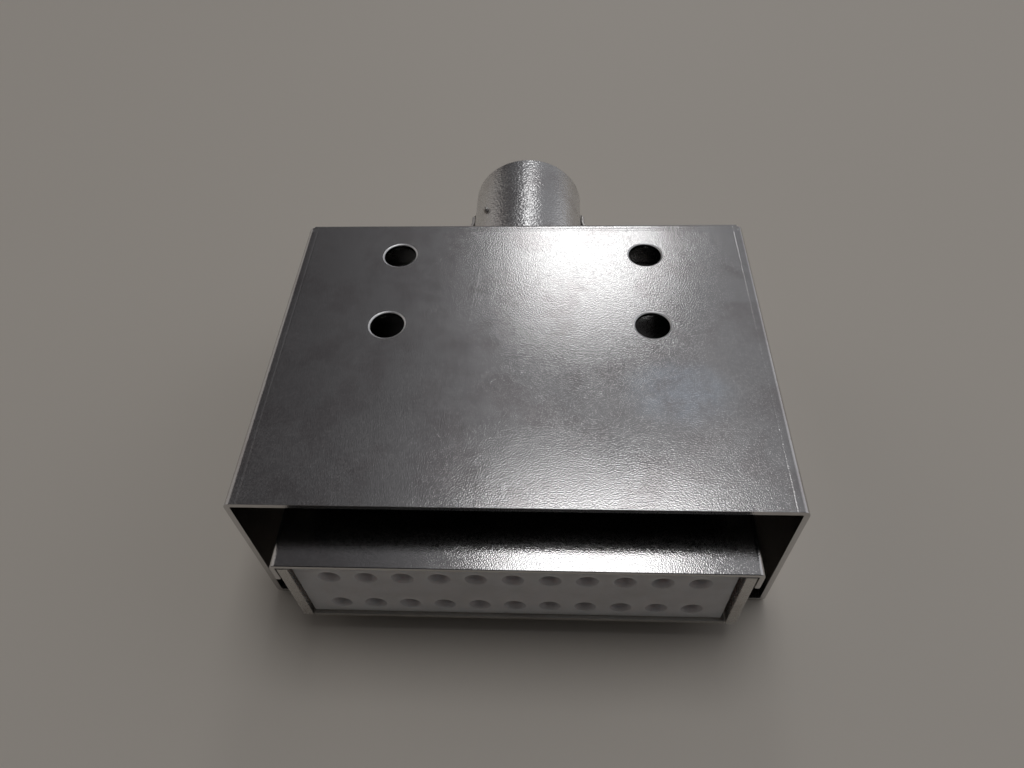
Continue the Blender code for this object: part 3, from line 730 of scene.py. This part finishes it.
def make_inlet_weld(material):
    """Rippled fillet round the inlet."""
    low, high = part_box("inlet_weld")
    inside = INLET_RADIUS + GAP
    radial = high.x - INLET_X - inside
    axial = high.y - low.y

    def ripple(wide, high_at, turn):
        out = (wide - inside) / radial
        wave = 0.5 + 0.5 * math.sin(turn * 62 + 2.2 * math.sin(turn * 7))
        swell = 1.0 - (0.10 + 0.10 * math.sin(turn * 5 + 1.0)) * out - 0.10 * wave * out
        return inside + (wide - inside) * swell, high_at * (1.0 - 0.16 * wave)

    turns = [math.pi / 2 * step / 8 for step in range(9)]
    crown = [(inside + radial * math.cos(turn), axial * math.sin(turn)) for turn in turns]
    shape = bmesh.new()
    place = Matrix.Translation((INLET_X, low.y, INLET_Z)) @ axis_turn((0, 1, 0))
    add_turned(shape, [(inside, 0)] + crown, 380, place, closed=True, ripple=ripple)
    weld = to_object("inlet_bead", shape, 60)
    return place_piece(weld, material, "inlet_weld")


def place_mirrored(shape, side, x):
    """Turn a right-hand shape to its own side and set it out from x."""
    flip = Matrix.Scale(side, 4, (1, 0, 0))
    bmesh.ops.transform(shape, matrix=Matrix.Translation((x, 0, 0)) @ flip, verts=shape.verts)


def make_strap(side, material):
    """Brace: a foot on the hood's flange, a slanting leg and a straight end along the inlet."""
    name = "strap_left" if side < 0 else "strap_right"
    low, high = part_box(name)
    near, reach = sorted((side * (low.x - INLET_X), side * (high.x - INLET_X)))
    outline = [(reach, low.y), (STRAP_KNEE_X, low.y), (near, STRAP_KNEE_Y), (near, high.y)]
    shape = bmesh.new()
    add_folded(shape, folded_pairs(outline, STRAP_SHEET * 1.5, STRAP_SHEET), low.z, high.z, upright)
    place_mirrored(shape, side, INLET_X)
    strap = to_object(name + "_angle", shape)
    soften(strap, STRAP_ROUND)
    return place_piece(strap, material, name)


def lump(shape, centre, size, columns=48, rows=32):
    """Oval bead of weld metal with faint ripples across it."""
    rings = []
    for row in range(rows + 1):
        lift = -math.pi / 2 + math.pi * row / rows
        height = centre.z + size[2] * math.sin(lift)
        if row in (0, rows):
            rings.append([shape.verts.new((centre.x, centre.y, height))])
            continue
        ring = []
        for column in range(columns):
            turn = 2 * math.pi * column / columns
            wave = 0.93 - 0.07 * math.sin(lift * 11 + math.cos(turn))
            x = centre.x + size[0] * wave * math.cos(lift) * math.cos(turn)
            y = centre.y + size[1] * wave * math.cos(lift) * math.sin(turn)
            ring.append(shape.verts.new((x, y, height)))
        rings.append(ring)
    for lower, upper in zip(rings, rings[1:]):
        for column in range(columns):
            after = (column + 1) % columns
            if len(lower) == 1:
                shape.faces.new((lower[0], upper[after], upper[column]))
            elif len(upper) == 1:
                shape.faces.new((lower[column], lower[after], upper[0]))
            else:
                shape.faces.new((lower[column], lower[after], upper[after], upper[column]))


def trim_to_inlet(bead, low_y, high_y):
    """Take the inlet's round side out of a bead."""
    trim = bmesh.new()
    add_cylinder(trim, INLET_RADIUS + GAP, (INLET_X, low_y - 5 * PAST, INLET_Z),
                 (INLET_X, high_y + 5 * PAST, INLET_Z), ROUND_STEPS)
    cut(bead, trim)


def make_strap_weld(side, material):
    """Lumpy bead that ends a brace on the inlet's side."""
    name = "strap_weld_left" if side < 0 else "strap_weld_right"
    low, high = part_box(name)
    coupling = INLET_RADIUS + GAP
    middle = (low + high) / 2
    outer = max(INLET_X - low.x, high.x - INLET_X)
    size = (outer - coupling, high.y - low.y, (high.z - low.z) / 2)
    shape = bmesh.new()
    lump(shape, Vector((coupling, low.y, middle.z)), size)
    place_mirrored(shape, side, INLET_X)
    bead = to_object(name + "_bead", shape, 60)
    trim_to_inlet(bead, low.y, high.y)
    strap_side = bmesh.new()
    add_box(strap_side, (-0.05, low.y - 0.02, 0), (0.05, low.y, 0.06))
    cut(bead, strap_side)
    return place_piece(bead, material, name)


def make_tack(material):
    """Small lump of weld metal on the inlet."""
    low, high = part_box("inlet_tack")
    middle = (low + high) / 2
    out = Vector((middle.x - INLET_X, 0, middle.z - INLET_Z)).normalized()
    radius = (high.y - low.y) / 2
    shape = bmesh.new()
    centre = Vector((INLET_X, middle.y, INLET_Z)) + out * (INLET_RADIUS + GAP)
    lump(shape, centre, (radius, radius, radius), 32, 20)
    tack = to_object("tack_lump", shape, 60)
    trim_to_inlet(tack, low.y, high.y)
    return place_piece(tack, material, "inlet_tack")


def make_rivet(number, material):
    """Blind rivet: domed head with the stub of its pin, and a swollen tail."""
    name = "strap_rivet_" + str(number)
    low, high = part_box(name)
    middle = (low + high) / 2
    head = 0.0015
    dome = 0.0032
    rim = 0.00012
    shank = 0.0016
    tail = 0.0012
    pin = 0.0010
    grip = high.y - head - low.y - tail
    profile = [(0, -grip - tail), (0.0014, -grip - tail), (0.0022, -grip - 0.0008),
               (0.0024, -grip - 0.0003), (0.0020, -grip), (shank, -grip), (shank, 0), (0.0030, 0),
               (dome, rim)]
    profile += [(dome * math.cos(turn), rim + (head - rim) * math.sin(turn))
                for turn in (math.radians(12 * step) for step in range(1, 6))]
    profile += [(pin * 1.05, head * 0.96), (pin, head * 0.60), (pin * 0.8, head * 0.58),
                (pin * 0.6, head * 0.86), (0, head * 0.90)]
    shape = bmesh.new()
    place = Matrix.Translation((middle.x, high.y - head, middle.z)) @ axis_turn((0, 1, 0))
    add_turned(shape, profile, 48, place)
    rivet = to_object(name + "_head", shape, 50)
    return place_piece(rivet, material, name)


def recess_outline(head_radius, slotted):
    """Outline of a screw's recess: a slot right across the head, or a cross inside it."""
    wide = 0.00030
    if slotted:
        arm = head_radius * 1.2
        return [(-arm, -wide), (arm, -wide), (arm, wide), (-arm, wide)]
    arm = head_radius * 0.55
    return [(-arm, -wide), (-wide, -wide), (-wide, -arm), (wide, -arm), (wide, -wide), (arm, -wide),
            (arm, wide), (wide, wide), (wide, arm), (-wide, arm), (-wide, wide), (-arm, wide)]


def make_screw(name, side, slotted, material):
    """Pan-head screw; the slotted ones are the block's and have a lower head."""
    low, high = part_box(name)
    middle = (low + high) / 2
    head_radius = (high.z - low.z) / 2
    head_height = 0.0010 if slotted else 0.0017
    shank = 0.0009 if slotted else 0.0014
    seat = (high.x if side > 0 else low.x) - side * head_height
    length = high.x - low.x - head_height
    rim = head_height * 0.30
    profile = [(0, -length), (shank, -length), (shank, 0), (head_radius * 0.97, 0), (head_radius, rim)]
    for step in range(1, 8):
        turn = math.pi / 2 * step / 8
        profile.append((head_radius * math.cos(turn) ** 0.7, rim + (head_height - rim) * math.sin(turn)))
    profile.append((0, head_height))
    place = Matrix.Translation((seat, middle.y, middle.z)) @ axis_turn((side, 0, 0))
    shape = bmesh.new()
    add_turned(shape, profile, 48, place)
    screw = to_object(name + "_head", shape, 50)
    recess = bmesh.new()
    turned = place @ Matrix.Rotation(math.radians(25), 4, "Z")
    add_prism(recess, recess_outline(head_radius, slotted), head_height * 0.45, head_height + PAST / 2,
              lambda a, b, depth: turned @ Vector((a, b, depth)))
    cut(screw, recess)
    return place_piece(screw, material, name)


def make_clip(number, material):
    """Small channel between a cheek and the hood's side."""
    name = "side_clip_" + str(number)
    low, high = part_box(name)
    side = math.copysign(1, low.x)
    near, far = sorted((abs(low.x), abs(high.x)))
    outline = [(far, high.y), (far, low.y), (near, low.y), (near, high.y)]
    shape = bmesh.new()
    add_folded(shape, folded_pairs(outline, 2 * HOOD_SHEET, HOOD_SHEET), low.z, high.z, upright)
    place_mirrored(shape, side, 0)
    clip = to_object(name + "_channel", shape)
    soften(clip, CLIP_ROUND)
    return place_piece(clip, material, name)


def finish_node(name, material):
    """A CAD node that keeps its shape and takes a finished material."""
    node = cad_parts[name]
    node.data.materials.clear()
    node.data.materials.append(material)


# ---------------------------------------------------------------- set

def make_camera():
    """Camera at its own place and turn, without depth of field."""
    data = bpy.data.cameras.new("camera")
    data.lens = CAMERA_LENS
    data.sensor_width = CAMERA_SENSOR
    data.clip_start = 0.01
    camera = bpy.data.objects.new("camera", data)
    bpy.context.scene.collection.objects.link(camera)
    pitch, roll, yaw = (math.radians(angle) for angle in CAMERA_TURN)
    turn = Matrix.Rotation(yaw, 4, "Z") @ Matrix.Rotation(pitch, 4, "X") @ Matrix.Rotation(roll, 4, "Z")
    camera.matrix_world = Matrix.Translation(CAMERA_PLACE) @ turn
    bpy.context.scene.camera = camera


def make_floor(material):
    """Plain square floor, a hair below the lowest face."""
    shape = bmesh.new()
    corners = [shape.verts.new((x * FLOOR_REACH, y * FLOOR_REACH, cad_low.z - 0.0001))
               for x, y in ((-1, -1), (1, -1), (1, 1), (-1, 1))]
    shape.faces.new(corners)
    floor = to_object("floor", shape)
    floor.data.materials.append(material)


def make_panel(name, extent):
    """Rectangular ceiling lamp that faces down."""
    (low_x, high_x), (low_y, high_y) = extent
    data = bpy.data.lights.new(name, "AREA")
    data.shape = "RECTANGLE"
    data.size = high_x - low_x
    data.size_y = high_y - low_y
    data.energy = PANEL_RADIANCE * math.pi * data.size * data.size_y
    data.color = PANEL_COLOUR
    lamp = bpy.data.objects.new(name, data)
    bpy.context.scene.collection.objects.link(lamp)
    lamp.location = ((low_x + high_x) / 2, (low_y + high_y) / 2, PANEL_HEIGHT)


def make_lights():
    """Two soft ceiling panels in line, in a room that is paler on the right and dim in front."""
    make_panel("panel_near", NEAR_PANEL)
    make_panel("panel_far", FAR_PANEL)
    world = bpy.data.worlds.new("room")
    world.use_nodes = True
    tree = world.node_tree
    direction = tree.nodes.new("ShaderNodeTexCoord").outputs["Generated"]
    parts = new_node(tree, "SeparateXYZ", Vector=direction)
    paler = remap(tree, parts.outputs["X"], -0.42, 0.12, 0.0, 1.0, True)
    shade = blend_colour(tree, paler, (*ROOM_DARK, 1.0), (*ROOM_PALE, 1.0))
    far_left = remap(tree, parts.outputs["X"], -0.66, -0.46, 1.0, 0.0, True)
    shade = blend_colour(tree, far_left, shade, (*ROOM_FAR_LEFT, 1.0))
    far_right = remap(tree, parts.outputs["X"], 0.50, 0.80, 0.0, 1.0, True)
    shade = blend_colour(tree, far_right, shade, (*ROOM_FAR_RIGHT, 1.0))
    tree.links.new(shade, tree.nodes["Background"].inputs["Color"])
    open_side = remap(tree, parts.outputs["Y"], -0.45, 0.35, ROOM_FRONT, 1.0, True)
    tree.links.new(open_side, tree.nodes["Background"].inputs["Strength"])
    bpy.context.scene.world = world
    bpy.context.scene.view_settings.view_transform = "Standard"


def main():
    """Materials first, then every piece, the floor and the lights."""
    make_camera()
    hood_plate = plated("nickel_hood", (0.62, 0.61, 0.605), (0.155, 0.190), 2700.0, 0.000028,
                        marks=HOOD_MARKS, rub=HOOD_RUB, holes=True)
    cover_plate = plated("nickel_cover", (0.62, 0.61, 0.605), (0.125, 0.155), 2700.0, 0.000028, 0.6)
    cheek_plate = plated("nickel_cheek", (0.60, 0.585, 0.565), (0.26, 0.36), 2000.0, 0.000012)
    box_plate = plated("nickel_box", (0.42, 0.41, 0.39), (0.36, 0.48), 1800.0, 0.000020)
    inlet_plate = plated("nickel_inlet", (0.76, 0.755, 0.75), (0.25, 0.30), 1250.0, 0.00018)
    bead_plate = plated("nickel_bead", (0.60, 0.585, 0.56), (0.30, 0.45), 900.0, 0.000060)
    # Braces and their welds: the same nickel painted darker, as painted shade.
    brace_shaded_plate = plated("nickel_brace_painted_shade", (0.46, 0.44, 0.42), (0.32, 0.42), 1800.0, 0.000020)
    small_plate = plated("nickel_small", (0.64, 0.63, 0.61), (0.24, 0.34), 2100.0, 0.000010)
    make_hood(hood_plate)
    make_cover(cover_plate)
    for side in (-1, 1):
        make_plate("cheek_left" if side < 0 else "cheek_right", cheek_plate)
        make_strap(side, brace_shaded_plate)
        make_strap_weld(side, brace_shaded_plate)
    make_plate("bottom_plate", box_plate)
    make_plate("back_plate", cheek_plate)
    make_plate("plenum_roof", cover_plate)
    make_block(ceramic_material())
    make_inlet(inlet_plate)
    make_inlet_weld(bead_plate)
    make_tack(bead_plate)
    for number in (1, 2, 3, 4):
        make_rivet(number, small_plate)
        make_clip(number, box_plate)
        make_screw("cover_screw_" + str(number), -1 if number < 3 else 1, False, small_plate)
    make_screw("block_screw_left", -1, True, small_plate)
    make_screw("block_screw_right", 1, True, small_plate)
    finish_node("block_gasket", fibre_material())
    finish_node("block_frame", box_plate)
    finish_node("diffuser", box_plate)
    make_floor(floor_material())
    make_lights()


main()
